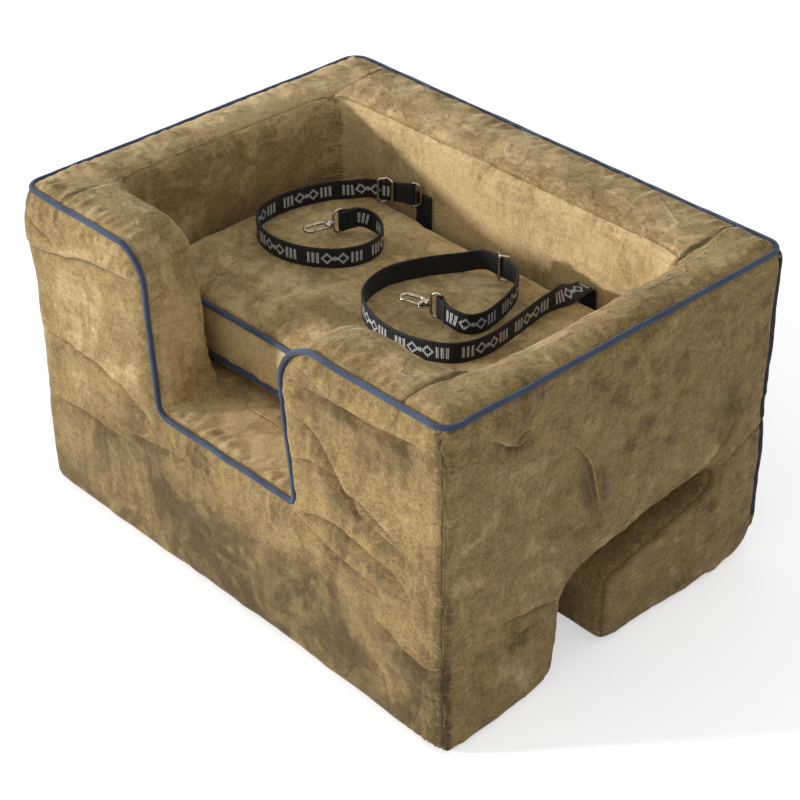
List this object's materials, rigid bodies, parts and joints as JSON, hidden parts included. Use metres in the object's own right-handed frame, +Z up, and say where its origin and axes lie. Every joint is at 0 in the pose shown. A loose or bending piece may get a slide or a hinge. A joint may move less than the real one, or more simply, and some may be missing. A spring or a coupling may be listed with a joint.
{
  "type": "dog car seat",
  "caption": "Padded box seat that lifts a small dog to window height, with an entrance notch, a belt slot between two feet, a box cushion and tethers with swivel hooks.",
  "frame": {"origin": "On the floor below the middle of the body's outline.", "axes": "+Z is up, the notched front faces -Y, +X runs to the right along the front seen from the front."},
  "size_m": [0.5102, 0.3833, 0.3011],
  "materials": {
    "suede": "tan micro suede with a brushed, mottled nap",
    "black_cloth": "black woven cloth",
    "piping": "slate blue woven piping",
    "foam": "cream open cell foam",
    "webbing": "black ribbed nylon webbing with a pale print on one face",
    "nickel": "nickel plated steel"
  },
  "bodies": {
    "seat_body": {"belt_slot_lining": "suede", "cover_back_panel": "black_cloth", "cover_foot_base": "suede", "cover_front_panel": "suede", "cover_left_panel": "suede", "cover_leg_base": "suede", "cover_right_panel": "suede", "foam_back_wall": "foam", "foam_deck": "foam", "foam_foot": "foam", "foam_front_left_post": "foam", "foam_front_leg": "foam", "foam_front_right_post": "foam", "foam_left_wall": "foam", "foam_right_wall": "foam", "lining_back": "suede", "lining_deck": "suede", "lining_front_left": "suede", "lining_front_right": "suede", "lining_left": "suede", "lining_right": "suede", "notch_sill": "suede", "rim_band_back": "suede", "rim_band_front_left": "suede", "rim_band_front_right": "suede", "rim_band_left": "suede", "rim_band_right": "suede", "rim_piping": "piping", "tether_1_tail": "webbing", "tether_2_tail": "webbing"},
    "cushion": {"cushion_bottom_panel": "suede", "cushion_boxing": "suede", "cushion_foam": "foam", "cushion_piping_bottom": "piping", "cushion_piping_top": "piping", "cushion_top_panel": "suede", "tether_1_webbing": "webbing", "tether_1_end_loop": "webbing", "tether_2_webbing": "webbing", "tether_2_end_loop": "webbing", "tether_1_ring": "nickel", "tether_1_ring_loop": "webbing"},
    "tether_1_slider_body": {"tether_1_slider": "nickel"},
    "tether_1_eye_body": {"tether_1_eye": "nickel"},
    "tether_1_hook_body": {"tether_1_hook": "nickel", "tether_1_gate_pin": "nickel"},
    "tether_1_gate_body": {"tether_1_gate": "nickel"},
    "tether_2_slider_body": {"tether_2_slider": "nickel"},
    "tether_2_eye_body": {"tether_2_eye": "nickel"},
    "tether_2_hook_body": {"tether_2_hook": "nickel", "tether_2_gate_pin": "nickel"},
    "tether_2_gate_body": {"tether_2_gate": "nickel"}
  },
  "joints": [
    {"name": "cushion_lift", "type": "slide", "parent": "seat_body", "child": "cushion", "axis": [0, 0, 1], "range_m": [0, 0.16], "deforming": ["tether_1_tail", "tether_2_tail"]},
    {"name": "tether_1_slider_travel", "type": "slide", "parent": "cushion", "child": "tether_1_slider_body", "axis": [-0.8684, -0.4958, 0.0025], "range_m": [-0.003, 0.004]},
    {"name": "tether_1_eye_swing", "type": "hinge", "parent": "cushion", "child": "tether_1_eye_body", "pos_m": [-0.1, 0.031, 0.24241], "axis": [-0.0035, -0.0092, 1], "range_deg": [-30, 30]},
    {"name": "tether_1_hook_swivel", "type": "hinge", "parent": "tether_1_eye_body", "child": "tether_1_hook_body", "pos_m": [-0.10247, 0.02141, 0.24231], "axis": [-0.2496, -0.9683, -0.0098], "continuous": true},
    {"name": "tether_1_gate_hinge", "type": "hinge", "parent": "tether_1_hook_body", "child": "tether_1_gate_body", "pos_m": [-0.09861, 0.01474, 0.24226], "axis": [0.0035, 0.0092, -1], "range_deg": [0, 28], "stiffness_Nm_per_rad": 0.004, "springref_deg": -34.38},
    {"name": "tether_2_slider_travel", "type": "slide", "parent": "cushion", "child": "tether_2_slider_body", "axis": [1, 0, 0.0005], "range_m": [-0.003, 0.004]},
    {"name": "tether_2_eye_swing", "type": "hinge", "parent": "cushion", "child": "tether_2_eye_body", "pos_m": [0.063, -0.00901, 0.24299], "axis": [0.0001, 0, 1], "range_deg": [-30, 30]},
    {"name": "tether_2_hook_swivel", "type": "hinge", "parent": "tether_2_eye_body", "child": "tether_2_hook_body", "pos_m": [0.05359, -0.01208, 0.24299], "axis": [-0.9507, -0.3102, 0.0001], "continuous": true},
    {"name": "tether_2_gate_hinge", "type": "hinge", "parent": "tether_2_hook_body", "child": "tether_2_gate_body", "pos_m": [0.05003, -0.01892, 0.24299], "axis": [-0.0001, 0, -1], "range_deg": [0, 28], "stiffness_Nm_per_rad": 0.004, "springref_deg": -34.38}
  ]
}
